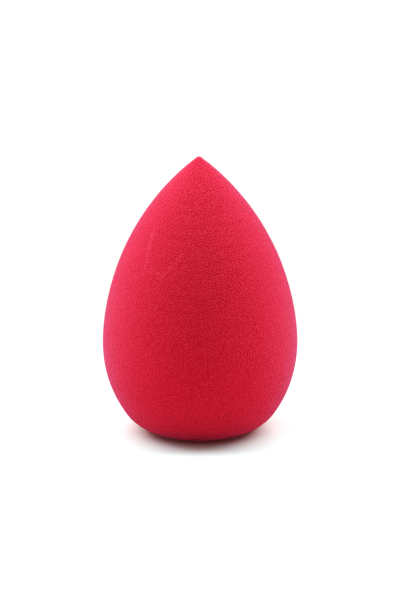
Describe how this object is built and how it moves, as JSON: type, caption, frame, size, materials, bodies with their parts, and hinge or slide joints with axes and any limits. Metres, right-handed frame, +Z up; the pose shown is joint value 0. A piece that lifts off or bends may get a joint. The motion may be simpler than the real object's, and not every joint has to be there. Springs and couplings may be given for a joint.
{
  "type": "makeup sponge",
  "caption": "Drop-shaped foam sponge for blending makeup, with a full round belly, a soft point and a small flat to stand on.",
  "frame": {"origin": "centre of the small flat that the sponge stands on", "axes": "+Z up along the axis of the drop, from the flat to the point; the sponge is the same all round, so +X and +Y may be turned freely"},
  "size_m": [0.042, 0.042, 0.06],
  "materials": {
    "foam": "matt hot pink-red open-cell foam, fine pored skin all over"
  },
  "bodies": {
    "root": {"foam_body": "foam"}
  },
  "joints": []
}
